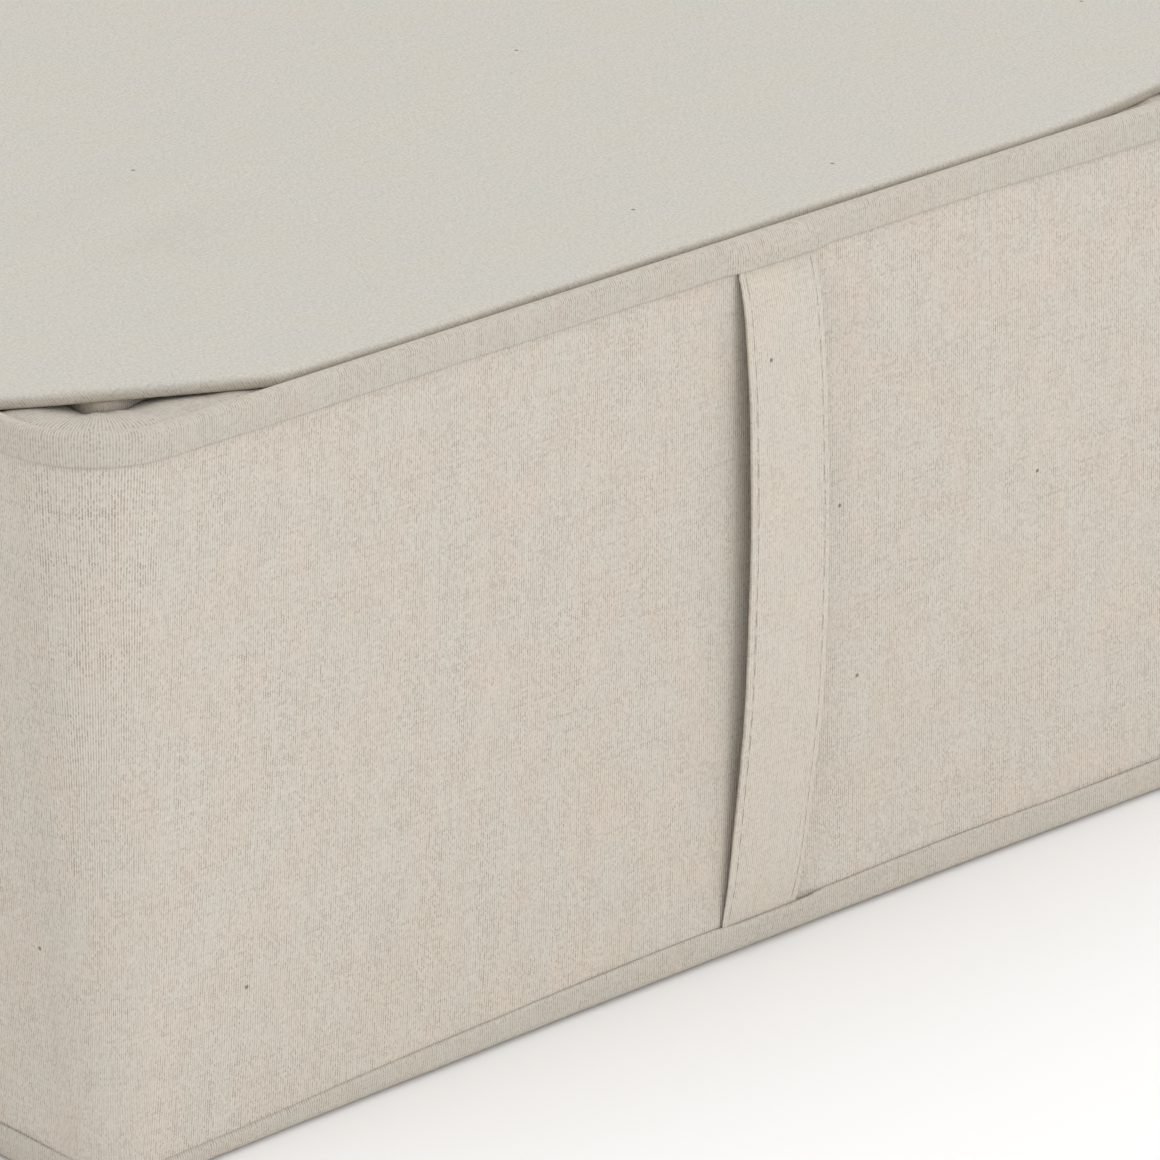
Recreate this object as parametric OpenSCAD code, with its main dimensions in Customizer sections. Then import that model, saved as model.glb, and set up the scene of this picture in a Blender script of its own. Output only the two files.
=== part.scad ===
// Low fabric storage bin with a zipped lid: linen-look walls over sewn-in stiffeners,
// tape bindings on the top and bottom edges and a strap handle on each handle wall.
// Units are millimetres. The origin is on the floor under the middle of the bin,
// +X runs along the handle walls, +Y runs from the front wall to the hinge wall, +Z is up.

/* [Bin] */
// Length of the handle walls, from outer face to outer face
bin_len = 440; // [380:10:520]
// Depth from the front wall to the hinge wall
bin_dep = 550; // [460:10:640]
// Height from the floor to the top of the top binding
bin_h = 190; // [160:5:240]
// Radius of the upright corners
corner_r = 25; // [24:0.5:27]

/* [Cloth, lining and boards] */
// Thickness of the outer wall fabric
linen_t = 1.0; // [0.9:0.1:1.1]
// Thickness of the wall stiffeners
board_t = 1.5; // [1.2:0.1:1.6]
// Thickness of the inner lining
lining_t = 0.5; // [0.4:0.1:0.6]
// Thickness of the base board
base_board_t = 2; // [1.5:0.5:3]

/* [Bindings] */
// Height of binding that shows on the wall
binding_h = 10; // [9:0.5:10.5]
// Thickness of one fold of binding tape
binding_t = 0.9; // [0.7:0.1:1]
// Width of the bottom binding under the base
binding_under = 10; // [8:1:14]

/* [Strap handles] */
// Width of a strap handle
strap_w = 26; // [22:1:34]
// Thickness of a strap, two layers of fabric sewn together
strap_t = 1.2; // [1:0.1:1.4]
// Distance that the middle of a strap stands off the wall
strap_bow = 8; // [7.8:0.1:10]

/* [Lid] */
// Gap between the wall's outer face and the edge of the lid
lid_inset = 5.5; // [5.4:0.1:6]
// Radius of the lid's corners, larger than the wall's
lid_r = 80; // [76:1:84]
// Thickness of the lid fabric
lid_t = 1.0; // [0.8:0.1:1.1]
// Height of the lid's rolled edge
lid_roll_h = 3.6; // [3:0.2:3.6]

/* [Zip] */
// Distance of the middle of the zip from the wall's outer face
zip_inset = 14.5; // [14.5:0.1:15]
// Width of one zip tape
zip_tape_w = 9; // [8.5:0.1:9.1]
// Thickness of a zip tape
zip_tape_t = 0.6; // [0.5:0.1:0.7]
// Width and height of one row of teeth
zip_teeth = [1.3, 2];
// Length of the slider
slider_len = 13; // [11:1:14]
// Width of the slider
slider_w = 9; // [8.5:0.1:9]
// Length of the pull tab, from its pivot to its tip
pull_len = 18; // [15:0.5:18]
// Width of the pull tab
pull_w = 4.5; // [4:0.1:4.5]

/* [Hidden] */

$fn = 64;
eps = 0.01;
// Layers in one body rest this far apart
ply_gap = 0.05;

// Wall layers, each as a distance in from the wall's outer face
board_in = linen_t + ply_gap;
lining_in = board_in + board_t + ply_gap;
wall_in = lining_in + lining_t;
inner_leg_in = wall_in + ply_gap;
lip_in = inner_leg_in + binding_t;

// Heights of the layers of the base and of the top edge
base_z = binding_t + ply_gap;
base_board_z = base_z + linen_t + ply_gap;
base_lining_z = base_board_z + base_board_t + ply_gap;
wall_top = bin_h - binding_t - ply_gap;
board_top = wall_top - 2;
binding_low = bin_h - binding_h;

// Strap handles
strap_tail = 7;
strap_low = binding_h - strap_tail;
strap_high = binding_low + strap_tail;
strap_bow_low = binding_h;
strap_bow_high = binding_low;
strap_steps = 24;
hump_t = strap_t + ply_gap + binding_t;
hump_w = strap_w + 2 * (binding_t + ply_gap);

// Zip, from the height of its middle plane
zip_z = bin_h - 9;
zip_r = 18;
zip_centre = zip_inset + zip_r;
teeth_gap = 0.5;
wall_teeth_in = zip_inset - teeth_gap - zip_teeth[0];
lid_teeth_in = zip_inset + teeth_gap;
lid_tape_in = lid_teeth_in + zip_teeth[0];
facing_in = lid_tape_in + zip_tape_w - linen_t;
zip_back = bin_dep / 2 - 16;
lid_zip_back = bin_dep / 2 - 40;
guard_in = lip_in + ply_gap;
guard_w = 5.5;
guard_z = zip_z + 2.2;
guard_t = 0.6;
stop_len = 2.5;

// Slider and its pull, which is parked in the gap at the back left corner
pivot_y = bin_dep / 2 - 28;
slider_back = pivot_y + 8;
plate_t = 1.1;
plate_gap = 0.4;
plate_low = zip_z - zip_teeth[1] / 2 - plate_gap - plate_t;
plate_high = zip_z + zip_teeth[1] / 2 + plate_gap;
bridge_t = 0.4;
slider_lip = 0.5;
pivot_r = 0.5;
pivot_clear = 0.06;
knuckle_r = 1.1;
pivot_z = plate_high + plate_t + knuckle_r + 0.3;
ear_t = 0.8;
ear_gap = 0.3;
knuckle_w = 2.2;
pull_t = 1;

// Webs that close the back corners under the ends of the zip
gusset_z = plate_low - 1.6;
gusset_t = 0.6;
gusset_lap = 10;

// Lid
lid_top = bin_h;
lid_under = lid_top - lid_t;
lid_lining_z = lid_under - ply_gap - lining_t;
lid_lining_in = lid_inset + lid_t + 0.4;
hinge_w = bin_len - 2 * (lid_inset + lid_r);
hinge_tape_z = bin_h - 14;

// Outline of the bin, drawn in by a distance, with a corner radius. It may run on past
// the hinge wall, for a piece that is still straight where it is cut off.
module outline(inset, r, past = 0) {
    l = bin_len - 2 * inset;
    d = bin_dep - 2 * inset + past;
    translate([0, past / 2]) {
        square([l - 2 * r, d], center = true);
        square([l, d - 2 * r], center = true);
        for (x = [-1, 1], y = [-1, 1])
            translate([x * (l / 2 - r), y * (d / 2 - r)]) circle(r = r);
    }
}

// Closed band between two distances in from the wall, with concentric corners
module band(in_from, in_to, z_from, z_to, centre = corner_r, past = 0) {
    translate([0, 0, z_from])
        linear_extrude(z_to - z_from)
            difference() {
                outline(in_from, centre - in_from, past);
                outline(in_to, centre - in_to, past);
            }
}

// Everything in front of a depth, for pieces that stop short of the hinge wall
module in_front_of(y) {
    translate([-bin_len, y - 2 * bin_dep, -bin_h]) cube([2 * bin_len, 2 * bin_dep, 3 * bin_h]);
}

// Flat panel with the bin's own corners
module panel(inset, z, t) {
    translate([0, 0, z]) linear_extrude(t) outline(inset, corner_r - inset);
}

module wall_fabric() {
    color("antiquewhite") band(0, linen_t, base_z, wall_top);
}

// A board lies flat in its wall and stops short of the soft corners
module long_stiffener(side) {
    l = bin_len - 2 * corner_r;
    color("gainsboro")
        translate([-l / 2, side * (bin_dep / 2 - board_in) - (side + 1) / 2 * board_t, base_board_z])
            cube([l, board_t, board_top - base_board_z]);
}

module side_stiffener(side) {
    d = bin_dep - 2 * corner_r;
    color("gainsboro")
        translate([side * (bin_len / 2 - board_in) - (side + 1) / 2 * board_t, -d / 2, base_board_z])
            cube([board_t, d, board_top - base_board_z]);
}

module front_stiffener() { long_stiffener(-1); }
module back_stiffener() { long_stiffener(1); }
module left_stiffener() { side_stiffener(-1); }
module right_stiffener() { side_stiffener(1); }

module wall_lining() {
    color("whitesmoke") band(lining_in, wall_in, base_board_z, wall_top);
}

module base_fabric() {
    color("antiquewhite") panel(board_in, base_z, linen_t);
}

module base_board() {
    color("gainsboro") panel(inner_leg_in, base_board_z, base_board_t);
}

module base_lining() {
    color("whitesmoke") panel(inner_leg_in, base_lining_z, lining_t);
}

// Raised part of a binding where it runs over the tail of a strap
module strap_hump(z_from, z_to) {
    for (side = [-1, 1])
        translate([-hump_w / 2, side * (bin_dep / 2 + hump_t / 2) - hump_t / 2, z_from])
            cube([hump_w, hump_t, z_to - z_from]);
}

// Room for the tails of the straps under a binding
module strap_room(z_from, z_to) {
    room_t = strap_t + ply_gap;
    for (side = [-1, 1])
        translate([-strap_w / 2 - ply_gap, side * (bin_dep / 2 + room_t / 2) - room_t / 2, z_from])
            cube([strap_w + 2 * ply_gap, room_t, z_to - z_from]);
}

module bottom_binding() {
    color("linen") {
        difference() {
            union() {
                band(-binding_t - ply_gap, -ply_gap, 0, binding_h);
                strap_hump(0, binding_h);
            }
            strap_room(strap_low - ply_gap, binding_h + eps);
            panel(-ply_gap, -eps, binding_h + 2 * eps);
        }
        band(-ply_gap, binding_under, 0, binding_t);
    }
}

module top_binding() {
    color("linen") {
        difference() {
            union() {
                band(-binding_t - ply_gap, -ply_gap, binding_low, bin_h);
                strap_hump(binding_low, bin_h);
            }
            strap_room(binding_low - eps, strap_high + ply_gap);
            panel(-ply_gap, binding_low - eps, binding_h + 2 * eps);
        }
        band(-ply_gap, inner_leg_in, bin_h - binding_t, bin_h);
        band(inner_leg_in, lip_in, binding_low, bin_h);
    }
}

// Stand-off of the strap at a height: it leaves the top binding quickly, is fullest
// above the middle and comes back to the wall slowly
function stand_off(z) =
    let (t = (strap_bow_high - z) / (strap_bow_high - strap_bow_low))
    t <= 0 || t >= 1 ? 0 : strap_bow * sin(180 * pow(t, 0.8));

module strap() {
    zs = [for (i = [0 : strap_steps]) strap_bow_low + i / strap_steps * (strap_bow_high - strap_bow_low)];
    inner = [for (z = zs) [stand_off(z), z]];
    outer = [for (z = zs) [stand_off(z) + strap_t, z]];
    face = bin_dep / 2 + ply_gap / 2;
    side_view = concat(
        [[0, strap_low]], inner, [[0, strap_high], [strap_t, strap_high]],
        [for (i = [strap_steps : -1 : 0]) outer[i]], [[strap_t, strap_low]]
    );
    color("antiquewhite")
        translate([-strap_w / 2, face, 0])
            rotate([90, 0, 90]) linear_extrude(strap_w) polygon(side_view);
}

module front_strap() { mirror([0, 1, 0]) strap(); }
module back_strap() { strap(); }

// Turned-in strip of fabric that hides the zip from above
module zip_guard() {
    color("antiquewhite")
        intersection() {
            band(guard_in, guard_in + guard_w, guard_z, guard_z + guard_t);
            in_front_of(zip_back);
        }
}

// A tape runs round the left, front and right walls
module wall_zip_tape() {
    color("tan")
        translate([0, 0, zip_z - zip_tape_t / 2])
            linear_extrude(zip_tape_t)
                intersection() {
                    difference() {
                        outline(guard_in, corner_r - guard_in);
                        outline(wall_teeth_in, zip_centre - wall_teeth_in, corner_r);
                    }
                    translate([0, zip_back - bin_dep]) square([2 * bin_len, 2 * bin_dep], center = true);
                }
}

module zip_run(in_from, in_to, z_from, z_to, y_back) {
    intersection() {
        band(in_from, in_to, z_from, z_to, zip_centre, corner_r);
        in_front_of(y_back);
    }
}

module wall_zip_teeth() {
    z = zip_z - zip_teeth[1] / 2;
    color("wheat")
        zip_run(wall_teeth_in + ply_gap, wall_teeth_in + zip_teeth[0], z, z + zip_teeth[1], zip_back);
}

module lid_zip_teeth() {
    z = zip_z - zip_teeth[1] / 2;
    color("wheat")
        zip_run(lid_teeth_in, lid_tape_in - ply_gap, z, z + zip_teeth[1], lid_zip_back);
}

module lid_zip_tape() {
    z = zip_z - zip_tape_t / 2;
    color("tan")
        zip_run(lid_tape_in, lid_tape_in + zip_tape_w, z, z + zip_tape_t, lid_zip_back);
}

// A clamp at each end of the zip keeps the slider on the teeth
module zip_stops() {
    stop_w = zip_teeth[0] + 1.2;
    stop_h = zip_teeth[1] + 0.8;
    color("silver")
        for (side = [-1, 1])
            translate([
                side * (bin_len / 2 - wall_teeth_in - zip_teeth[0] / 2) - stop_w / 2,
                zip_back + ply_gap,
                zip_z - stop_h / 2
            ])
                cube([stop_w, stop_len, stop_h]);
}

// Two webs of fabric close the gaps between the walls and the lid's back corners
module corner_gussets() {
    color("antiquewhite")
        translate([0, 0, gusset_z])
            linear_extrude(gusset_t)
                intersection() {
                    difference() {
                        outline(guard_in, corner_r - guard_in);
                        outline(lid_inset + gusset_lap, lid_r - gusset_lap);
                        square([hinge_w, 2 * bin_dep], center = true);
                    }
                    translate([0, 1.5 * bin_dep - lid_inset - lid_r]) square([2 * bin_len, 2 * bin_dep], center = true);
                }
}

// Seam allowance of the lid, sewn to the inside of the hinge wall
module hinge_tape() {
    color("antiquewhite")
        translate([-hinge_w / 2, bin_dep / 2 - guard_in - guard_t, hinge_tape_z])
            cube([hinge_w, guard_t, bin_h - hinge_tape_z]);
}

// Lid panel with an edge that rolls down on the three zipped sides, short of the back corners
module lid_fabric() {
    color("lightgray") {
        translate([0, 0, lid_under]) linear_extrude(lid_t) outline(lid_inset, lid_r);
        intersection() {
            translate([0, 0, lid_top - lid_roll_h])
                linear_extrude(lid_roll_h - lid_t)
                    difference() {
                        outline(lid_inset, lid_r);
                        outline(lid_inset + lid_t, lid_r - lid_t);
                    }
            in_front_of(bin_dep / 2 - lid_inset - lid_r);
        }
    }
}

module lid_lining() {
    color("whitesmoke")
        translate([0, 0, lid_lining_z])
            linear_extrude(lining_t) outline(lid_lining_in, lid_r - lid_lining_in + lid_inset);
}

// Upright strip that joins the lid's zip tape to the lid
module lid_facing() {
    color("antiquewhite")
        difference() {
            zip_run(
                facing_in, facing_in + linen_t, zip_z + zip_tape_t / 2 + ply_gap,
                lid_lining_z - ply_gap, lid_zip_back
            );
            translate([0, 0, lid_top - lid_roll_h - ply_gap])
                linear_extrude(lid_roll_h)
                    difference() {
                        square([2 * bin_len, 2 * bin_dep], center = true);
                        outline(lid_inset + lid_t + ply_gap, lid_r - lid_t - ply_gap);
                    }
        }
}

// Plate of the slider, rounded at its ends
module slider_plate(z) {
    end_r = 3;
    translate([-bin_len / 2 + zip_inset, slider_back - slider_len / 2, z])
        linear_extrude(plate_t) {
            square([slider_w, slider_len - 2 * end_r], center = true);
            square([slider_w - 2 * end_r, slider_len], center = true);
            for (x = [-1, 1], y = [-1, 1])
                translate([x * (slider_w / 2 - end_r), y * (slider_len / 2 - end_r)]) circle(r = end_r);
        }
}

module zip_slider() {
    x0 = -bin_len / 2 + zip_inset;
    ear_x = knuckle_w / 2 + ear_gap;
    rail_y = 6;
    color("silver") {
        slider_plate(plate_low);
        slider_plate(plate_high);
        translate([x0 - bridge_t / 2, slider_back - slider_len + 2, plate_low + plate_t - eps])
            cube([bridge_t, slider_len / 2, plate_high - plate_low - plate_t + 2 * eps]);
        for (side = [-1, 1]) {
            translate([
                x0 + side * (slider_w / 2 - 0.5) - 0.5,
                slider_back - slider_len / 2 - rail_y / 2,
                plate_high - slider_lip
            ])
                cube([1, rail_y, slider_lip + eps]);
            translate([x0 + side * (ear_x + ear_t / 2) - ear_t / 2, pivot_y, pivot_z])
                rotate([0, 90, 0]) cylinder(r = knuckle_r, h = ear_t);
            translate([
                x0 + side * (ear_x + ear_t / 2) - ear_t / 2,
                pivot_y - knuckle_r,
                plate_high + plate_t - eps
            ])
                cube([ear_t, 2 * knuckle_r, pivot_z - plate_high - plate_t]);
        }
        translate([x0 - ear_x - eps, pivot_y, pivot_z])
            rotate([0, 90, 0]) cylinder(r = pivot_r, h = 2 * (ear_x + eps));
    }
}

// Pull tab, lying back from its pivot, with a hole near its tip
module zip_pull() {
    x0 = -bin_len / 2 + zip_inset;
    tip_r = pull_w / 2;
    slot_r = 1.1;
    neck = 3.2;
    color("silver")
        difference() {
            union() {
                translate([x0 - knuckle_w / 2, pivot_y, pivot_z])
                    rotate([0, 90, 0]) cylinder(r = knuckle_r, h = knuckle_w);
                translate([x0 - knuckle_w / 2, pivot_y, pivot_z - pull_t / 2])
                    cube([knuckle_w, neck + eps, pull_t]);
                translate([x0 - pull_w / 2, pivot_y + neck, pivot_z - pull_t / 2])
                    cube([pull_w, pull_len - neck - tip_r, pull_t]);
                translate([x0, pivot_y + pull_len - tip_r, pivot_z - pull_t / 2])
                    cylinder(r = tip_r, h = pull_t);
            }
            translate([x0 - knuckle_w, pivot_y, pivot_z])
                rotate([0, 90, 0]) cylinder(r = pivot_r + pivot_clear, h = 2 * knuckle_w);
            translate([x0, pivot_y + pull_len - tip_r, pivot_z - pull_t])
                cylinder(r = slot_r, h = 2 * pull_t);
        }
}

wall_fabric();
front_stiffener();
back_stiffener();
left_stiffener();
right_stiffener();
wall_lining();
base_fabric();
base_board();
base_lining();
bottom_binding();
top_binding();
front_strap();
back_strap();
zip_guard();
wall_zip_tape();
wall_zip_teeth();
zip_stops();
corner_gussets();
hinge_tape();
lid_fabric();
lid_lining();
lid_facing();
lid_zip_tape();
lid_zip_teeth();
zip_slider();
zip_pull();
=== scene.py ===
"""The looks of a linen storage bin: soft walls over boards, bound edges, straps and a zipped lid."""

import bisect
import math

import bmesh
import bpy
from mathutils import Matrix, Vector, noise


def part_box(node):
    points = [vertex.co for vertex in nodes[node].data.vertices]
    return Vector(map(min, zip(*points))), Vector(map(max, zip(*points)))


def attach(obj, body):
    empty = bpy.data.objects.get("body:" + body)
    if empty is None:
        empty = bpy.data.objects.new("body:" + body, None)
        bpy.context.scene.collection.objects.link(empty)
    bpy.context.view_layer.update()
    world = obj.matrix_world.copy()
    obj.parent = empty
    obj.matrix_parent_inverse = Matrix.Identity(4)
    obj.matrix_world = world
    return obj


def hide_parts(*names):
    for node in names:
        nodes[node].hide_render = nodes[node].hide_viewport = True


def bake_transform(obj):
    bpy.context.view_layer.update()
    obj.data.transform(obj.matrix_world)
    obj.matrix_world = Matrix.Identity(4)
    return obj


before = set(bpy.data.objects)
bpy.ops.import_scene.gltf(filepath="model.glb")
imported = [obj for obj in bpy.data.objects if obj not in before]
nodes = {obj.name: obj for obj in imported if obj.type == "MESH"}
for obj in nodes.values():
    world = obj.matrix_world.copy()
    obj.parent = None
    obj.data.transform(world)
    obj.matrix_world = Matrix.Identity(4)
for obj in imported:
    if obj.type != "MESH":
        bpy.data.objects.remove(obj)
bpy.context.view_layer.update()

# --- Camera ---------------------------------------------------------------------------------
# A long lens that looks down on the front left corner of the bin, with the handle wall to the
# right of the corner. It is aimed at a point beside that upright corner.
scene = bpy.context.scene
wall_low, wall_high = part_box("wall_fabric")
near_corner = Vector((wall_low.x, wall_low.y, 0))
camera_azimuth = math.radians(-43.2)
camera_elevation = math.radians(21.83)
camera_distance = 2.187
camera_lens = 294.5
camera_aim = near_corner + Vector((0.0965, -0.0617, 0.1498))
back_of_camera = Vector((
    math.sin(camera_azimuth) * math.cos(camera_elevation),
    -math.cos(camera_azimuth) * math.cos(camera_elevation),
    math.sin(camera_elevation),
))
camera_data = bpy.data.cameras.new("camera")
camera_data.sensor_width = 36
camera_data.lens = camera_lens
camera_data.clip_end = 50
camera = bpy.data.objects.new("camera", camera_data)
camera.location = camera_aim + back_of_camera * camera_distance
camera.rotation_euler = back_of_camera.to_track_quat("Z", "Y").to_euler()
scene.collection.objects.link(camera)
bpy.context.scene.camera = camera

# --- Studio ---------------------------------------------------------------------------------
# A pale floor in an even white room, with one large soft light from the front and a
# weaker one from above.
floor_tone = 0.93
room_strength = 1.02
scene.view_settings.view_transform = "Standard"
room = bpy.data.worlds.new("room")
room.use_nodes = True
room_inputs = room.node_tree.nodes["Background"].inputs
room_inputs["Color"].default_value = (1, 1, 1, 1)
room_inputs["Strength"].default_value = room_strength
scene.world = room


def soft_light(name, place, aim, size, watts):
    """A square area light at a place, turned to an aim point."""
    data = bpy.data.lights.new(name, "AREA")
    data.size = size
    data.energy = watts
    lamp = bpy.data.objects.new(name, data)
    lamp.location = place
    lamp.rotation_euler = (Vector(place) - Vector(aim)).to_track_quat("Z", "Y").to_euler()
    scene.collection.objects.link(lamp)


soft_light("key_light", (0.5, -2.8, 1.5), (0, -0.2, 0.1), 1.6, 15)
soft_light("top_light", (0.3, 0.2, 2.6), (0, 0, 0.1), 1.6, 5)

floor_mesh = bmesh.new()
bmesh.ops.create_grid(floor_mesh, x_segments=1, y_segments=1, size=6)
floor_data = bpy.data.meshes.new("floor")
floor_mesh.to_mesh(floor_data)
floor_mesh.free()
floor = bpy.data.objects.new("floor", floor_data)
scene.collection.objects.link(floor)
floor_finish = bpy.data.materials.new("floor_paint")
floor_finish.use_nodes = True
floor_inputs = floor_finish.node_tree.nodes["Principled BSDF"].inputs
floor_inputs["Base Color"].default_value = (floor_tone, floor_tone, floor_tone, 1)
floor_inputs["Roughness"].default_value = 0.9
floor_data.materials.append(floor_finish)

# --- Wall fabric ----------------------------------------------------------------------------
# One long strip of natural linen-look plain weave runs round the four walls. Its ribs stand
# upright, and its seam is behind the back strap. Stretched over boards, it is nearly flat; the
# corners are broad at the top and tight at the floor, and the foot of each wall draws in.
half_x = wall_high.x
half_y = wall_high.y
bin_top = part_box("top_binding")[1].z
wall_cloth_t = 0.0009
corner_mean = 0.025
corner_top = 0.026
corner_foot = 0.013
foot_draw = 0.0018
foot_lift = 0.0003
waviness = 0.0011
seam_reach = 0.05


def corner_point(sign_x, sign_y, hx, hy, corner, swing, from_side):
    """Point on a corner that takes a off one wall and b off the other, at a swing from 0 to 1."""
    a, b, power = corner
    angle = swing * math.pi / 2
    leaving = 1 - math.sin(angle) ** (2 / power)
    meeting = 1 - max(math.cos(angle), 0) ** (2 / power)
    off_x = a * (meeting if from_side else leaving)
    off_y = b * (leaving if from_side else meeting)
    return sign_x * (hx - off_x), sign_y * (hy - off_y)


def rim(index, share, hx, hy, corners):
    """Point on one of the nine segments of an outline, from the middle of the back wall on."""
    back_left, front_left, front_right, back_right = corners
    if index == 0:
        return -share * (hx - back_left[0]), hy
    if index == 1:
        return corner_point(-1, 1, hx, hy, back_left, share, False)
    if index == 2:
        return -hx, hy - back_left[1] - share * (2 * hy - back_left[1] - front_left[1])
    if index == 3:
        return corner_point(-1, -1, hx, hy, front_left, share, True)
    if index == 4:
        return -hx + front_left[0] + share * (2 * hx - front_left[0] - front_right[0]), -hy
    if index == 5:
        return corner_point(1, -1, hx, hy, front_right, share, False)
    if index == 6:
        return hx, -hy + front_right[1] + share * (2 * hy - front_right[1] - back_right[1])
    if index == 7:
        return corner_point(1, 1, hx, hy, back_right, share, True)
    return (1 - share) * (hx - back_right[0]), hy


def segment_lengths(hx, hy, corners):
    """Lengths of the nine segments: half the back wall, then corner and wall in turn."""
    back_left, front_left, front_right, back_right = corners
    arcs = [0.77 * (a + b) for a, b, _ in corners]
    return [
        hx - back_left[0], arcs[0], 2 * hy - back_left[1] - front_left[1], arcs[1],
        2 * hx - front_left[0] - front_right[0], arcs[2], 2 * hy - front_right[1] - back_right[1],
        arcs[3], hx - back_right[0],
    ]


def locate(distance, lengths):
    """The segment at a distance round an outline, and the share of it that is behind."""
    for index, length in enumerate(lengths):
        if distance <= length or index == len(lengths) - 1:
            return index, min(max(distance / length, 0), 1)
        distance -= length


def outward(index, share, hx, hy, corners):
    """Unit vector that points out of the bin from an outline."""
    x0, y0 = rim(index, max(share - 0.01, 0), hx, hy, corners)
    x1, y1 = rim(index, min(share + 0.01, 1), hx, hy, corners)
    return Vector((y1 - y0, x0 - x1, 0)).normalized()


def mid_wall(index, share):
    """0 at the corners and 1 at the middle of each wall."""
    along = {0: 0.5 - share / 2, 2: share, 4: share, 6: share, 8: share / 2}
    return math.sin(math.pi * along[index]) if index in along else 0


def alike(radius):
    """Four equal round corners."""
    return [(radius, radius, 2)] * 4


wall_lengths = segment_lengths(half_x, half_y, alike(corner_mean))
wall_round = sum(wall_lengths)


def from_seam(distance):
    """0 at the seam in the middle of the back wall, and 1 beyond its reach."""
    near = min(min(distance, wall_round - distance) / seam_reach, 1)
    return near * near * (3 - 2 * near)


def wall_point(distance, height, out=0.0):
    """Point at a distance round the soft wall and a height, out from its outer face."""
    index, share = locate(distance, wall_lengths)
    rise = min(max(height / bin_top, 0), 1)
    radius = corner_foot + (corner_top - corner_foot) * rise ** 0.8
    corners = alike(max(radius + out, 0.002))
    hx = half_x + out
    hy = half_y + out
    x, y = rim(index, share, hx, hy, corners)
    middle = mid_wall(index, share)
    push = -foot_draw * middle * (1 - rise) ** 1.7
    ripple = noise.noise(Vector((distance * 9, height * 8, 3.1))) * from_seam(distance)
    push += ripple * waviness * 2 * math.sqrt(middle * rise * (1 - rise))
    normal = outward(index, share, hx, hy, corners)
    lift = foot_lift * middle * (1 - rise) ** 3
    return Vector((x, y, height + lift)) + normal * push


def cloth(name, columns, rows, place, spread, finish, thickness, closed=False):
    """A grid of cloth: place gives each point, and spread where that is on the flat cloth."""
    mesh = bmesh.new()
    bmesh.ops.create_grid(mesh, x_segments=columns, y_segments=rows, size=0.5)
    flat = mesh.loops.layers.uv.new("cloth")
    mesh.verts.index_update()
    spots = []
    for vert in mesh.verts:
        a, b = (min(max(part + 0.5, 0), 1) for part in vert.co.xy)
        spot = place(a, b)
        spots.append((spot, spread(a, b, spot)))
    for face in mesh.faces:
        for loop in face.loops:
            loop[flat].uv = spots[loop.vert.index][1]
    for vert in mesh.verts:
        vert.co = spots[vert.index][0]
    if closed:
        bmesh.ops.remove_doubles(mesh, verts=mesh.verts, dist=0.00001)
    for face in mesh.faces:
        face.smooth = True
    data = bpy.data.meshes.new(name)
    mesh.to_mesh(data)
    mesh.free()
    data.materials.append(finish)
    piece = bpy.data.objects.new(name, data)
    scene.collection.objects.link(piece)
    if thickness:
        ply = piece.modifiers.new("ply", "SOLIDIFY")
        ply.thickness = thickness
        ply.offset = -1
    return piece


def put(piece, body, slot, *stands_for):
    """A piece rides on a body and stands for CAD nodes, which are hidden; its slot is not used."""
    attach(piece, body)
    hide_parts(*stands_for)


def wire(tree, kind, inputs=(), **settings):
    """A shader node with its settings, and its inputs set or linked."""
    made = tree.nodes.new(kind)
    for key, value in settings.items():
        setattr(made, key, value)
    for key, value in dict(inputs).items():
        if isinstance(value, bpy.types.NodeSocket):
            tree.links.new(value, made.inputs[key])
        else:
            made.inputs[key].default_value = value
    return made


def maths(tree, operation, *values, clamp=False):
    """The result of a math node."""
    made = wire(tree, "ShaderNodeMath", enumerate(values), operation=operation, use_clamp=clamp)
    return made.outputs[0]


def ramp(tree, value, low, high, to_low=0.0, to_high=1.0):
    """A value mapped from one range to another, smoothly, and held at its ends."""
    made = wire(
        tree, "ShaderNodeMapRange", {0: value, 1: low, 2: high, 3: to_low, 4: to_high},
        interpolation_type="SMOOTHSTEP",
    )
    return made.outputs[0]


def stretched_noise(tree, flat, along, across, detail=1.0):
    """Noise whose lumps are 1 / along by 1 / across metres."""
    spot = wire(
        tree, "ShaderNodeVectorMath", {0: flat, 1: (along, across, 1)}, operation="MULTIPLY"
    )
    made = wire(
        tree, "ShaderNodeTexNoise", {"Vector": spot.outputs[0], "Scale": 1, "Detail": detail}
    )
    return made.outputs["Fac"]


def blend_colour(tree, share, first, second):
    """Two colours mixed."""
    made = wire(tree, "ShaderNodeMix", {0: share, 6: first, 7: second}, data_type="RGBA")
    return made.outputs[2]


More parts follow.
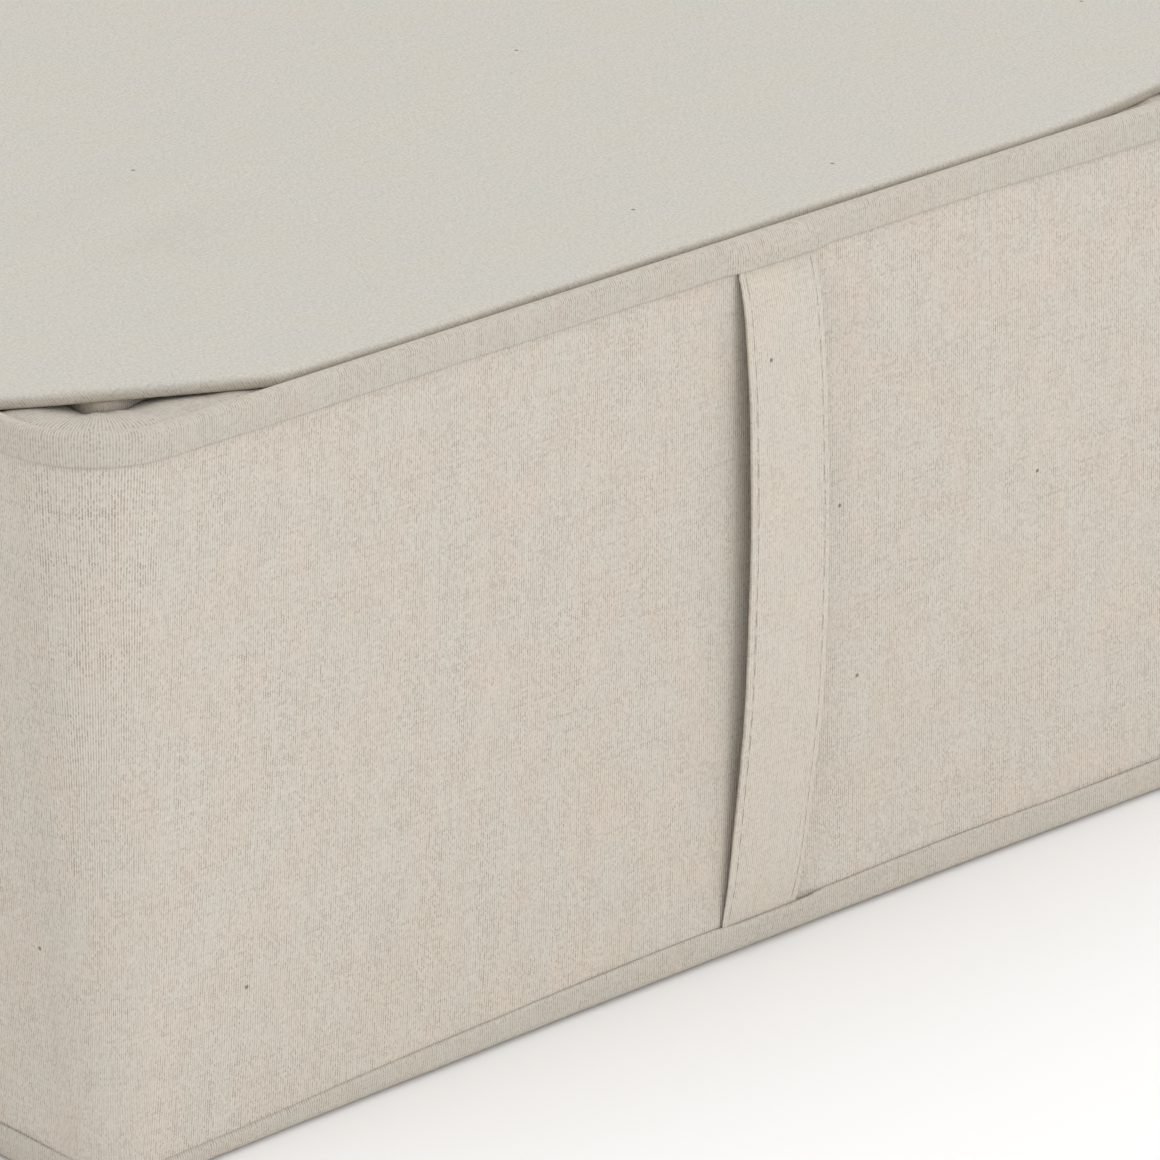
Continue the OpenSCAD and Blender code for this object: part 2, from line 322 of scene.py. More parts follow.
def build_weave():
    """Plain weave with upright ribs, slubs, pores, dark neps and a mottled yarn colour; painted highlight on
    the rib crests and painted shade in the rib grooves, pores and open weft places.
    """
    tree = bpy.data.node_groups.new("weave", "ShaderNodeTree")
    face = tree.interface
    for kind, labels in (
        ("NodeSocketVector", ("Flat",)),
        ("NodeSocketFloat", ("Rib", "Rib Shade", "Pore Shade", "Slub Depth", "Speckle")),
        ("NodeSocketColor", ("Warm", "Cool", "Gap", "Slub", "Nep And Pore Shade")),
    ):
        for label in labels:
            face.new_socket(name=label, in_out="INPUT", socket_type=kind)
    face.new_socket(name="Color", in_out="OUTPUT", socket_type="NodeSocketColor")
    face.new_socket(name="Height", in_out="OUTPUT", socket_type="NodeSocketFloat")
    given = tree.nodes.new("NodeGroupInput").outputs
    flat = given["Flat"]
    parts = wire(tree, "ShaderNodeSeparateXYZ", {0: flat}).outputs

    def times(*values, clamp=False):
        """Two values multiplied."""
        return maths(tree, "MULTIPLY", *values, clamp=clamp)

    def mixed(value, factor, rest):
        """A value times a factor, plus the rest."""
        return maths(tree, "MULTIPLY_ADD", value, factor, rest)

    def without(value):
        """What is left of 1."""
        return maths(tree, "SUBTRACT", 1, value)

    def lumps(along, across, detail):
        """Noise on the flat cloth."""
        return stretched_noise(tree, flat, along, across, detail)

    sway = times(maths(tree, "SUBTRACT", lumps(60, 25, 2), 0.5), 2.6)
    weft_sway = times(maths(tree, "SUBTRACT", lumps(30, 70, 2), 0.5), 3.2)
    across = maths(tree, "ADD", maths(tree, "DIVIDE", parts[0], given["Rib"]), sway)
    picks = maths(tree, "DIVIDE", parts[1], times(given["Rib"], 1.12))
    along = maths(tree, "ADD", picks, weft_sway)
    ridge = ramp(tree, maths(tree, "SINE", times(across, 2 * math.pi)), -1, 1)
    rib_number = maths(tree, "FLOOR", maths(tree, "ADD", across, 0.25))
    turn = mixed(along, 2 * math.pi, times(rib_number, math.pi))
    crossing = ramp(tree, maths(tree, "SINE", turn), -1, 1)
    cell = wire(
        tree, "ShaderNodeCombineXYZ",
        {0: maths(tree, "FLOOR", maths(tree, "ADD", across, 0.75)), 1: maths(tree, "FLOOR", along)},
    ).outputs[0]
    chance = wire(tree, "ShaderNodeTexWhiteNoise", {"Vector": cell}, noise_dimensions="2D").outputs["Value"]
    open_patch = ramp(tree, lumps(160, 110, 3), 0.3, 0.7)
    open_rib = ramp(tree, lumps(900, 14, 1), 0.4, 0.68)
    open_pick = ramp(tree, lumps(18, 900, 1), 0.5, 0.7)
    rib_patch = ramp(tree, lumps(190, 40, 3), 0.3, 0.6, 0.5, 1)
    pore = times(without(ridge), without(crossing))
    pore = times(pore, ramp(tree, chance, 0.25, 0.9))
    opened = mixed(open_patch, 0.35, 0.2)
    opened = mixed(open_rib, 0.4, opened)
    opened = mixed(open_pick, 0.45, opened)
    pore = times(pore, opened, clamp=True)

    weft_slub = ramp(tree, lumps(34, 1150, 2), 0.6, 0.76)
    weft_dark = ramp(tree, lumps(44, 1250, 2), 0.58, 0.76)
    broken = mixed(chance, 0.8, 0.2)
    warp_slub = ramp(tree, lumps(1250, 60, 2), 0.58, 0.78)
    fleck_spot = wire(tree, "ShaderNodeTexVoronoi", {"Vector": flat, "Scale": 16.0}, voronoi_dimensions="2D")
    fleck_pick = wire(tree, "ShaderNodeSeparateColor", {0: fleck_spot.outputs["Color"]}).outputs[0]
    fleck = ramp(tree, fleck_spot.outputs["Distance"], 0.004, 0.012, 1, 0)
    nep = times(fleck, maths(tree, "GREATER_THAN", fleck_pick, 0.6))
    yarn = ramp(tree, lumps(60, 48, 3), 0.36, 0.64)
    colour = blend_colour(tree, yarn, given["Warm"], given["Cool"])
    speckle = lumps(1500, 1250, 2)
    lump = lumps(520, 380, 2)
    dull = maths(tree, "ADD", ramp(tree, speckle, 0.52, 0.3), ramp(tree, lump, 0.5, 0.28, 0, 0.25))
    bright = maths(tree, "ADD", ramp(tree, speckle, 0.5, 0.72), ramp(tree, lump, 0.52, 0.74, 0, 0.25))
    colour = blend_colour(tree, times(dull, given["Speckle"], clamp=True), colour, given["Gap"])
    colour = blend_colour(tree, times(bright, given["Speckle"], clamp=True), colour, given["Slub"])
    # Painted shade: the rib grooves darken towards the Gap colour. Painted highlight: the rib crests lighten
    # towards the Slub colour. Rib Shade sets how strong both are.
    groove_shade = times(without(ridge), rib_patch)
    groove_shade = times(groove_shade, mixed(chance, 0.5, 0.6))
    crest_highlight = times(times(ridge, rib_patch), given["Rib Shade"])
    colour = blend_colour(tree, times(crest_highlight, 0.45), colour, given["Slub"])
    colour = blend_colour(tree, times(groove_shade, given["Rib Shade"]), colour, given["Gap"])
    # Painted shade: the pores between the yarns darken towards the dark fleck colour; Pore Shade sets how
    # strong.
    colour = blend_colour(tree, times(pore, given["Pore Shade"]), colour, given["Nep And Pore Shade"])
    lit = maths(tree, "MAXIMUM", times(weft_slub, broken), times(warp_slub, 0.6))
    colour = blend_colour(tree, times(lit, given["Slub Depth"]), colour, given["Slub"])
    gaps = times(mixed(crossing, -0.6, 1), broken)
    shade = times(times(weft_dark, gaps), given["Slub Depth"])
    shade = times(shade, 1.8, clamp=True)
    colour = blend_colour(tree, shade, colour, given["Gap"])
    colour = blend_colour(tree, times(nep, 0.8), colour, given["Nep And Pore Shade"])
    height = times(ridge, mixed(crossing, 0.35, 0.65))
    height = maths(tree, "ADD", height, times(lit, 0.9))
    height = maths(tree, "SUBTRACT", height, times(pore, 0.8))
    wire(tree, "NodeGroupOutput", {0: colour, 1: height})
    return tree


weave = build_weave()
rib_pitch = 0.00068
# Dark brown of the neps, and also the painted shade colour of the pores.
fleck_and_pore_shade_colour = (0.13, 0.09, 0.06, 1)


def woven(name, warm, cool, gap, slub, depths, bump, rib=rib_pitch):
    """A matt cloth on the weave's flat map, with strengths of painted rib shade and highlight, painted pore
    shade, slub and speckle.
    """
    finish = bpy.data.materials.new(name)
    finish.use_nodes = True
    tree = finish.node_tree
    shader = tree.nodes["Principled BSDF"]
    flat = wire(tree, "ShaderNodeUVMap", uv_map="cloth").outputs[0]
    group = wire(tree, "ShaderNodeGroup", node_tree=weave)
    tree.links.new(flat, group.inputs["Flat"])
    for label, value in zip(("Rib Shade", "Pore Shade", "Slub Depth", "Speckle"), depths):
        group.inputs[label].default_value = value
    for label, value in (("Warm", warm), ("Cool", cool), ("Gap", gap), ("Slub", slub)):
        group.inputs[label].default_value = (*value, 1)
    group.inputs["Rib"].default_value = rib
    group.inputs["Nep And Pore Shade"].default_value = fleck_and_pore_shade_colour
    relief = wire(
        tree, "ShaderNodeBump",
        {"Strength": bump, "Distance": 0.00025, "Height": group.outputs["Height"]},
    )
    tree.links.new(group.outputs["Color"], shader.inputs["Base Color"])
    tree.links.new(relief.outputs[0], shader.inputs["Normal"])
    shader.inputs["Roughness"].default_value = 0.92
    shader.inputs["Specular IOR Level"].default_value = 0.15
    shader.inputs["Sheen Weight"].default_value = 0.08
    shader.inputs["Sheen Roughness"].default_value = 0.5
    return finish


wall_finish = woven(
    "wall_linen", warm=(0.609, 0.544, 0.470), cool=(0.582, 0.551, 0.489), gap=(0.399, 0.343, 0.272),
    slub=(0.722, 0.668, 0.602), depths=(0.6, 0.7, 0.3, 0.3), bump=0.4,
)
wall_bottom = 0.0015
wall_rise = wall_high.z - wall_bottom
wall_fabric = cloth(
    "wall_cloth", 480, 44,
    lambda a, b: wall_point(a * wall_round, wall_bottom + b * wall_rise),
    lambda a, b, _: (a * wall_round, b * wall_rise),
    wall_finish, wall_cloth_t, closed=True,
)
put(wall_fabric, "bin", "wall_linen", "wall_fabric")

# --- Stiffeners -----------------------------------------------------------------------------
# Four thin polypropylene boards stand inside the walls, between the fabric and the lining. They
# bend with the walls and stop short of the soft corners.
board_out = -0.00105
board_t = 0.0014
board_low = 0.0035
board_high = wall_high.z - 0.002


def plastic(name, colour, roughness, grain, grain_depth):
    """Plain moulded or rolled plastic with a fine grain and slightly cloudy colour."""
    finish = bpy.data.materials.new(name)
    finish.use_nodes = True
    tree = finish.node_tree
    shader = tree.nodes["Principled BSDF"]
    spot = wire(tree, "ShaderNodeTexCoord").outputs["Object"]
    cloud = wire(tree, "ShaderNodeTexNoise", {"Vector": spot, "Scale": 40, "Detail": 3}).outputs["Fac"]
    fine = wire(tree, "ShaderNodeTexNoise", {"Vector": spot, "Scale": grain, "Detail": 2}).outputs["Fac"]
    darker = tuple(0.88 * part for part in colour)
    tint = blend_colour(tree, ramp(tree, cloud, 0.3, 0.7), (*colour, 1), (*darker, 1))
    relief = wire(tree, "ShaderNodeBump", {"Strength": grain_depth, "Distance": 0.0002, "Height": fine})
    tree.links.new(tint, shader.inputs["Base Color"])
    tree.links.new(relief.outputs[0], shader.inputs["Normal"])
    shader.inputs["Roughness"].default_value = roughness
    return finish


board_finish = plastic("board_plastic", (0.72, 0.71, 0.67), 0.55, 900, 0.25)
side_of_segment = {"back": (0, 8), "left": (2,), "front": (4,), "right": (6,)}
for side, segments in side_of_segment.items():
    start = sum(wall_lengths[:segments[-1]])
    length = sum(wall_lengths[s] for s in segments)

    def board_place(a, b, start=start, length=length):
        """Point on the outer face of a board."""
        around = (start + a * length) % wall_round
        return wall_point(around, board_low + b * (board_high - board_low), board_out)

    board = cloth(
        side + "_board", 90, 24, board_place,
        lambda a, b, _, length=length: (a * length, b * board_high), board_finish, board_t,
    )
    put(board, "bin", "stiffener_board", side + "_stiffener")

# --- Wall lining ----------------------------------------------------------------------------
# A thin pressed nonwoven in off-white lines the walls. It is caught under the top binding and
# by the seam at the foot, and it lies flat on the boards.
lining_out = -0.00265
lining_t = 0.0004


def nonwoven(name, colour, dot_pitch):
    """Spun-bonded lining with rows of small pressed dots and cloudy fibres."""
    finish = bpy.data.materials.new(name)
    finish.use_nodes = True
    tree = finish.node_tree
    shader = tree.nodes["Principled BSDF"]
    flat = wire(tree, "ShaderNodeUVMap", uv_map="cloth").outputs[0]
    dots = wire(
        tree, "ShaderNodeTexVoronoi", {"Vector": flat, "Scale": 1 / dot_pitch, "Randomness": 0.15},
        voronoi_dimensions="2D",
    ).outputs["Distance"]
    pressed = ramp(tree, dots, 0.16, 0.3, 1, 0)
    clouds = ramp(tree, stretched_noise(tree, flat, 260, 420, 3), 0.3, 0.7)
    darker = tuple(0.86 * part for part in colour)
    tint = blend_colour(tree, maths(tree, "MULTIPLY", clouds, 0.5), (*colour, 1), (*darker, 1))
    tint = blend_colour(tree, maths(tree, "MULTIPLY", pressed, 0.45), tint, (*darker, 1))
    height = maths(tree, "SUBTRACT", maths(tree, "MULTIPLY", clouds, 0.4), pressed)
    relief = wire(tree, "ShaderNodeBump", {"Strength": 0.5, "Distance": 0.0002, "Height": height})
    tree.links.new(tint, shader.inputs["Base Color"])
    tree.links.new(relief.outputs[0], shader.inputs["Normal"])
    shader.inputs["Roughness"].default_value = 0.85
    shader.inputs["Specular IOR Level"].default_value = 0.25
    return finish


lining_finish = nonwoven("nonwoven_lining", (0.74, 0.73, 0.69), 0.0021)
lining_low = 0.0047
lining_high = 0.1835
lining_rise = lining_high - lining_low
wall_lining = cloth(
    "wall_lining_cloth", 480, 36,
    lambda a, b: wall_point(a * wall_round, lining_low + b * lining_rise, lining_out),
    lambda a, b, _: (a * wall_round, b * lining_rise),
    lining_finish, lining_t, closed=True,
)
put(wall_lining, "bin", "lining", "wall_lining")

# --- Base -----------------------------------------------------------------------------------
# The base is a sandwich like the walls: linen below, a loose stiff board, and lining on top. The
# linen and the lining are sewn in at the foot of the walls and follow their soft line.


def panel_place(outline, centre_height):
    """Places rings of a flat panel from an outline, at b = 0, to its middle, at b = 1."""
    def place(a, b):
        """Point of the panel."""
        edge = outline(a)
        keep = (1 - b) ** 1.15
        return Vector((edge.x * keep, edge.y * keep, centre_height + (edge.z - centre_height) * keep))
    return place


def planar(_, __, spot):
    """The flat map of a level panel is its plan."""
    return spot.x, spot.y


# Each has its name, height, reach out from the wall's face, thickness, finish, slot and node.
base_parts = (
    ("base_cloth", 0.00165, -0.0004, 0.0008, wall_finish, "wall_linen", "base_fabric"),
    ("base_board_panel", 0.0039, -0.0034, 0.0017, board_finish, "stiffener_board", "base_board"),
    ("base_lining_cloth", 0.0046, -0.0032, 0.0004, lining_finish, "lining", "base_lining"),
)
for name, height, out, thickness, finish, slot, node in base_parts:
    base_place = panel_place(
        lambda a, height=height, out=out: wall_point(a * wall_round, height, out), height
    )
    base_part = cloth(name, 240, 30, base_place, planar, finish, thickness, closed=True)
    put(base_part, "bin", slot, node)

# --- Straps ---------------------------------------------------------------------------------
# Each handle wall has one upright strap of folded linen, stitched along both edges. Its ends
# are caught under the bindings and it bows out between them, a little nearer the top.
strap_w = 0.0262
strap_t = 0.0014
strap_bow = 0.0043
strap_low = 0.0035
strap_high = 0.1868
front_middle = sum(wall_lengths[:4]) + wall_lengths[4] / 2
binding_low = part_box("top_binding")[0].z
foot_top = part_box("bottom_binding")[1].z


def soft_step(value):
    """A share from 0 to 1 with soft ends."""
    value = min(max(value, 0), 1)
    return value * value * (3 - 2 * value)


def strap_spot(middle, lean, share, across, depth):
    """Point on a strap at a share of its height, across it and out from its middle layer."""
    height = strap_low + share * (strap_high - strap_low)
    free = min(max((binding_low - height) / (binding_low - foot_top), 0), 1)
    loose = soft_step(min(free, 1 - free) / 0.07)
    stand = strap_bow * max(math.sin(math.pi * free ** 0.8), 0) ** 0.75 + 0.0006 + 0.0004 * loose
    depth *= 0.5 + 0.5 * loose
    across *= 1 - 0.08 * free ** 2
    shift = -0.0008 - lean * (free ** 1.2 - 0.56 * free ** 1.7) + 0.0028 * math.sin(math.pi * free)
    at = wall_point((middle + shift + across) % wall_round, height)
    index, segment_share = locate((middle + shift) % wall_round, wall_lengths)
    normal = outward(index, segment_share, half_x, half_y, alike(corner_top))
    curl = 0.0004 * noise.noise(Vector((share * 6, middle, 0.5)))
    return at + normal * (stand + depth + curl + across * 0.03 * math.sin(share * 5))


def beads(name, places, size, finish):
    """Small rounded beads, each at a point and turned along a direction and a normal."""
    mesh = bmesh.new()
    bmesh.ops.create_uvsphere(
        mesh, u_segments=6, v_segments=4, radius=0.5, matrix=Matrix.Rotation(math.pi / 2, 4, "Y")
    )
    shape = [vert.co.copy() for vert in mesh.verts]
    while len(mesh.verts) < len(shape) * len(places):
        bmesh.ops.duplicate(mesh, geom=mesh.verts[:] + mesh.edges[:] + mesh.faces[:])
    mesh.verts.ensure_lookup_table()
    bmesh.ops.delete(mesh, geom=mesh.verts[len(shape) * len(places):], context="VERTS")
    for index, vert in enumerate(mesh.verts):
        point, along, up = places[index // len(shape)]
        side = up.cross(along).normalized()
        local = shape[index % len(shape)]
        vert.co = (
            point + along * local.x * size[0] + side * local.y * size[1]
            + along.cross(side) * local.z * size[2]
        )
    for face in mesh.faces:
        face.smooth = True
    data = bpy.data.meshes.new(name)
    mesh.to_mesh(data)
    mesh.free()
    data.materials.append(finish)
    piece = bpy.data.objects.new(name, data)
    scene.collection.objects.link(piece)
    return piece


strap_finish = woven(
    "strap_linen", warm=(0.608, 0.545, 0.470), cool=(0.585, 0.548, 0.482), gap=(0.412, 0.357, 0.282),
    slub=(0.721, 0.666, 0.602), depths=(0.45, 0.5, 0.2, 0.24), bump=0.35,
)
thread_finish = plastic("thread", (0.66, 0.61, 0.53), 0.8, 2500, 0.4)
stitch_depth = 0.82 * strap_t / 2
stitch_line = 0.0112
stitch_size = (0.0030, 0.00030, 0.00010)
stitches = 56


def strap_section(a):
    """Across a folded strap and out from its middle: flat, with thin pressed edges."""
    swing = 2 * math.pi * a
    across = -math.cos(swing) * strap_w / 2
    depth = math.copysign(abs(math.sin(swing)) ** 0.3, math.sin(swing)) * strap_t / 2
    return across, depth


for strap_name, middle, lean in (("front_strap", front_middle, 0.0062), ("back_strap", 0.0, 0.003)):
    strap_cloth = cloth(
        strap_name + "_cloth", 56, 110,
        lambda a, b: strap_spot(middle, lean, b, *strap_section(a)),
        lambda a, b, _: (strap_section(a)[0], b * (strap_high - strap_low)),
        strap_finish, 0, closed=True,
    )
    caps = bmesh.new()
    caps.from_mesh(strap_cloth.data)
    bmesh.ops.holes_fill(caps, edges=caps.edges, sides=0)
    caps.to_mesh(strap_cloth.data)
    caps.free()
    stitch_places = []
    for side in (-1, 1):
        for step in range(stitches):
            share = (step + 0.5) / stitches
            across = side * stitch_line
            here = strap_spot(middle, lean, share, across, stitch_depth)
            ahead = strap_spot(middle, lean, share + 0.01, across, stitch_depth)
            out_point = strap_spot(middle, lean, share, across, stitch_depth + 0.001)
            stitch_places.append((here, (ahead - here).normalized(), (out_point - here).normalized()))
    strap_stitches = beads(strap_name + "_stitches", stitch_places, stitch_size, thread_finish)
    put(strap_cloth, "bin", "strap_linen", strap_name)
    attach(strap_stitches, "bin")

# --- Bindings -------------------------------------------------------------------------------
# A folded tape of the same linen binds the raw edges. The top one wraps the rim and swells over
# the ends of the straps; the bottom one turns under the base. Both are turned in at their edges.
binding_finish = woven(
    "binding_linen", warm=(0.544, 0.492, 0.426), cool=(0.524, 0.497, 0.440), gap=(0.379, 0.327, 0.260),
    slub=(0.652, 0.606, 0.546), depths=(0.6, 0.6, 0.2, 0.26), bump=0.4,
)
binding_t = 0.0006
tape_sway = 0.00035
tape_puff = 0.00022
strap_swell = 0.0013


def smooth_curve(points, steps=10):
    """Points close together on a smooth curve through the given ones, with their distances."""
    ends = [points[0] * 2 - points[1], *points, points[-1] * 2 - points[-2]]
    fine = []
    for p0, p1, p2, p3 in zip(ends, ends[1:], ends[2:], ends[3:]):
        for step in range(steps):
            t = step / steps
            fine.append(0.5 * (
                2 * p1 + (p2 - p0) * t + (2 * p0 - 5 * p1 + 4 * p2 - p3) * t * t
                + (3 * p1 - p0 - 3 * p2 + p3) * t ** 3
            ))
    fine.append(points[-1])
    run = [0.0]
    for p, q in zip(fine, fine[1:]):
        run.append(run[-1] + (q - p).length)
    return fine, run


def on_curve(curve, share):
    """Point on a smooth curve at a share of its length."""
    fine, run = curve
    goal = share * run[-1]
    step = min(max(bisect.bisect_left(run, goal), 1), len(run) - 1)
    part = (goal - run[step - 1]) / max(run[step] - run[step - 1], 1e-9)
    return fine[step - 1].lerp(fine[step], min(max(part, 0), 1))


def profile(*pairs):
    """A smooth profile through (out, height) pairs in millimetres."""
    return smooth_curve([Vector((out, height)) / 1000 for out, height in pairs])


def over_strap(distance):
    """1 over the end of a strap and 0 beside it."""
    nearest = min(abs(distance - front_middle), distance, wall_round - distance)
    return 1 - min(max((nearest - 0.0125) / 0.005, 0), 1)


top_profile = profile(
    (0.15, 181.2), (0.7, 181.15), (0.95, 181.7), (1.05, 183.2), (1.05, 185.8), (1.0, 187.6),
    (0.75, 188.7), (0.1, 189.4), (-0.9, 189.7), (-2.1, 189.6), (-3.2, 189.1), (-3.9, 187.9),
    (-4.1, 185.0), (-4.1, 180.2),
)
foot_profile = profile(
    (-10.0, 0.35), (-6.0, 0.3), (-2.6, 0.3), (-0.9, 0.55), (0.3, 1.4), (0.9, 2.8), (1.0, 5.0),
    (1.0, 8.0), (0.95, 9.4), (0.7, 9.95), (0.1, 9.9),
)
foot_level = 0.0003
front_start = sum(wall_lengths[:4])


def top_binding_place(a, b):
    """Point on the top binding."""
    spot = on_curve(top_profile, b)
    distance = a * wall_round
    outside = soft_step((spot.x + 0.002) / 0.0025)
    drop = soft_step((0.1885 - spot.y) / 0.0075) * outside
    rough = from_seam(distance)
    wide = 0.0014 * soft_step((distance - front_start - 0.24) / 0.12) * rough - 0.0005
    sway = (tape_sway * rough * noise.noise(Vector((distance * 22, 1.7, 4))) - wide) * drop
    swell = strap_swell * soft_step(over_strap(distance)) * outside
    swell *= soft_step((0.1895 - spot.y) / 0.005)
    puff = tape_puff * rough * noise.noise(Vector((distance * 40, spot.y * 90, 7))) * outside
    return wall_point(distance, spot.y + sway, spot.x + swell + puff)


def foot_binding_place(a, b):
    """Point on the bottom binding, which stands lowest just past the front left corner."""
    spot = on_curve(foot_profile, b)
    distance = a * wall_round
    outside = soft_step((spot.x + 0.001) / 0.0015)
    rise = soft_step(spot.y / 0.009) * outside
    past = distance - front_start
    dip = 1 - soft_step(past / 0.14) if past > 0 else math.exp(-(past / 0.03) ** 2)
    leg = 0.96 - 0.33 * dip
    if past > 0:
        leg -= 0.14 * (1 - soft_step(past / 0.3))
    rough = from_seam(distance)
    sway = tape_sway * rough * noise.noise(Vector((distance * 22, 5.1, 2))) * rise
    swell = strap_swell * soft_step(over_strap(distance)) * rise
    puff = tape_puff * rough * noise.noise(Vector((distance * 40, spot.y * 90, 3))) * outside
    height = foot_level + (spot.y - foot_level) * (1 + (leg - 1) * rise)
    return wall_point(distance, height + sway, spot.x + swell + puff)


for binding, place, curve, node in (
    ("top_binding_tape", top_binding_place, top_profile, "top_binding"),
    ("bottom_binding_tape", foot_binding_place, foot_profile, "bottom_binding"),
):
    tape = cloth(
        binding, 640, 34, place,
        lambda a, b, _, curve=curve: (a * wall_round + 3, b * curve[1][-1]),
        binding_finish, binding_t, closed=True,
    )
    put(tape, "bin", "binding_linen", node)

# --- Zip on the rim -------------------------------------------------------------------------
# The wall half of a nylon coil zip runs inside the rim on three sides. Its tape is sewn under the
# binding, and a linen guard above hides it: narrow along the walls, wide and puckered at the
# front corners.
zip_tape_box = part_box("wall_zip_tape")
lid_tape_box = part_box("lid_zip_tape")
guard_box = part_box("zip_guard")
zip_level = zip_tape_box[1].z
zip_middle = 0.0145
zip_round = 0.0325
zip_pitch = 0.0015
zip_tape_t = 0.0005


def zip_lengths(back):
    """Lengths of the side, corner, front, corner and side of a zip run that ends at back."""
    radius = zip_round - zip_middle
    side = back + half_y - zip_middle - radius
    return [
        side, radius * math.pi / 2, 2 * (half_x - zip_middle - radius), radius * math.pi / 2, side
    ]


def zip_point(distance, lengths, back, inset, height):
    """Point on a run parallel to the zip, at an inset from the outer face of the walls."""
    index, share = locate(distance, lengths)
    radius = zip_round - inset
    x = half_x - inset
    y = half_y - inset
    if index in (0, 4):
        along = share if index == 0 else 1 - share
        return Vector((x if index else -x, back - along * (back + y - radius), height))
    if index == 2:
        return Vector((-x + radius + share * 2 * (x - radius), -y, height))
    angle = share * math.pi / 2
    back_by = radius * math.cos(angle)
    on_by = radius * math.sin(angle)
    if index == 1:
        return Vector((-x + radius - back_by, -y + radius - on_by, height))
    return Vector((x - radius + on_by, -y + radius - back_by, height))


def zip_strip(name, back, curve, finish, thickness, rows):
    """A strip that runs beside the zip, on a profile of (inset, height)."""
    lengths = zip_lengths(back)
    run = sum(lengths)

    def place(a, b):
        """Point of the strip."""
        spot = on_curve(curve, b)
        return zip_point(a * run, lengths, back, spot.x, spot.y)

    return cloth(
        name, 420, rows, place, lambda a, b, _: (a * run, b * curve[1][-1]), finish, thickness
    ), run, curve[1][-1]


tape_finish = woven(
    "zip_tape", warm=(0.52, 0.46, 0.36), cool=(0.50, 0.455, 0.365), gap=(0.36, 0.31, 0.23),
    slub=(0.58, 0.53, 0.43), depths=(0.5, 0.1, 0.1, 0.1), bump=0.5, rib=0.0005,
)
coil_finish = plastic("zip_coil", (0.50, 0.44, 0.34), 0.4, 3000, 0.2)
zip_back = zip_tape_box[1].y
wall_tape, tape_run, tape_width = zip_strip(
    "wall_zip_tape_cloth", zip_back, profile((4.15, 181.3), (8.5, 181.25), (12.7, 181.3)),
    tape_finish, zip_tape_t, 8,
)
put(wall_tape, "bin", "zip_tape", "wall_zip_tape")


def coil(name, body, back, inset, shift, node):
    """One side of the zip: a row of nylon coils."""
    lengths = zip_lengths(back)
    run = sum(lengths)
    level = (zip_level + zip_tape_box[0].z) / 2
    places = []
    for step in range(int(run / zip_pitch) - 1):
        distance = (step + 0.5 + shift) * zip_pitch
        here = zip_point(distance, lengths, back, inset, level)
        inner = zip_point(distance, lengths, back, inset + 0.001, level)
        places.append((here, (inner - here).normalized(), Vector((0, 0, 1))))
    chain = beads(name, places, (0.0013, 0.0011, 0.0017), coil_finish)
    put(chain, body, "zip_coil", node)


coil("wall_zip_coil", "bin", zip_back, 0.01345, 0.0, "wall_zip_teeth")

guard_curve = profile(
    (4.2, 185.9), (5.8, 185.95), (7.6, 185.6), (9.1, 184.9), (9.5, 184.3), (9.1, 183.8)
)
guard_back = guard_box[1].y
guard_lengths = zip_lengths(guard_back)
guard_run = sum(guard_lengths)
guard_t = 0.0006
guard_widening = 2.75
guard_highest = 0.1876


def guard_place(a, b):
    """Point on the guard, which is wide where the front corners of the lid pull in."""
    spot = on_curve(guard_curve, b)
    distance = a * guard_run
    past = distance - guard_lengths[0]
    past_right = guard_run - guard_lengths[4] - distance
    wide = soft_step((past + 0.0095) / 0.006) * soft_step((0.14 - past) / 0.05)
    wide += soft_step((past_right + 0.006) / 0.012) * soft_step((0.17 - past_right) / 0.05)
    start = guard_curve[0][0].x
    inset = start + (spot.x - start) * (1 + guard_widening * wide)
    pucker = noise.noise(Vector((distance * 55, inset * 40, 8.2)))
    gather = noise.noise(Vector((distance * 130, inset * 25, 3.1)))
    height = spot.y + (0.0007 + 0.0004 * wide) * (pucker - 0.3) * b
    rise = 0.0009 * soft_step(b / 0.25) - 0.0002 * soft_step((b - 0.45) / 0.4)
    height += wide * (rise + 0.0011 * gather * soft_step(b / 0.2))
    return zip_point(distance, guard_lengths, guard_back, inset, min(height, guard_highest))


guard = cloth(
    "zip_guard_cloth", 560, 18, guard_place,
    lambda a, b, _: (a * guard_run + 5, 0.02 * b),
    binding_finish, guard_t,
)
put(guard, "bin", "binding_linen", "zip_guard")

# --- Corner gussets -------------------------------------------------------------------------
# Behind each end of the zip a small linen gusset closes the corner under the lid, so that
# nothing falls out of the bin where the lid is rounded off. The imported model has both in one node.
gusset_t = 0.0006
gusset_out = 0.0032
gusset_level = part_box("corner_gussets")[1].z
lid_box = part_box("lid_fabric")
lid_in = wall_high.x - lid_box[1].x
lid_back_corner = (0.08, 0.08, 2)
gusset_outer = [(0.08, 0.08, 7.9)] * 4
gusset_in = lid_in + 0.004
for side, index in (("left", 1), ("right", 7)):
    def gusset_place(a, b, index=index):
        """Point of a gusset between the wall and the line below the edge of the lid."""
        out_x, out_y = rim(index, a, half_x - gusset_out, half_y - gusset_out, gusset_outer)
        in_x, in_y = rim(index, a, half_x - gusset_in, half_y - gusset_in, [lid_back_corner] * 4)
        sag = 0.0008 * math.sin(math.pi * b) * (1 + noise.noise(Vector((a * 6, b * 2, 4))))
        return Vector((out_x + (in_x - out_x) * b, out_y + (in_y - out_y) * b, gusset_level - sag))

    gusset = cloth(side + "_gusset", 40, 12, gusset_place, planar, wall_finish, gusset_t)
    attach(gusset, "bin")
    if side == "left":
        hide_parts("corner_gussets")
